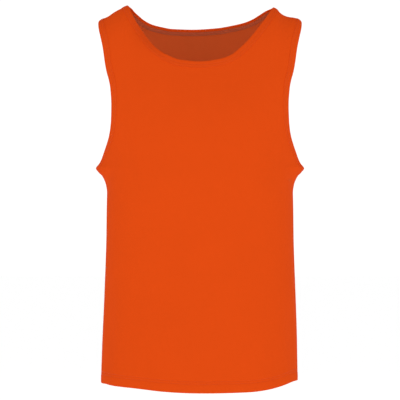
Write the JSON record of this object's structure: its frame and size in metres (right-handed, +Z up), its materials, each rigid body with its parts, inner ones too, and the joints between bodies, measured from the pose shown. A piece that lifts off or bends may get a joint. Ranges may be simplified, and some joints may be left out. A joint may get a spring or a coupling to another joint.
{
  "type": "mesh training bib",
  "caption": "Sleeveless scoop-neck training bib in mesh knit, filled out as when worn, with bound neck and armholes and a turned-up hem, hollow and open throughout.",
  "frame": {"origin": "midway between the undersides of the two shoulder straps, at the shoulder seams, where a wearer's shoulders hold the bib up", "axes": "+Z up, the front faces -Y, the wearer's left is at +X"},
  "size_m": [0.373, 0.2512, 0.6771],
  "materials": {
    "mesh_knit": "matt orange polyester mesh knit",
    "binding": "matt orange folded knit strip, stitched"
  },
  "bodies": {
    "root": {"front_panel": "mesh_knit", "back_panel": "mesh_knit", "neck_band": "binding", "armhole_band_left": "binding", "armhole_band_right": "binding"}
  },
  "joints": []
}
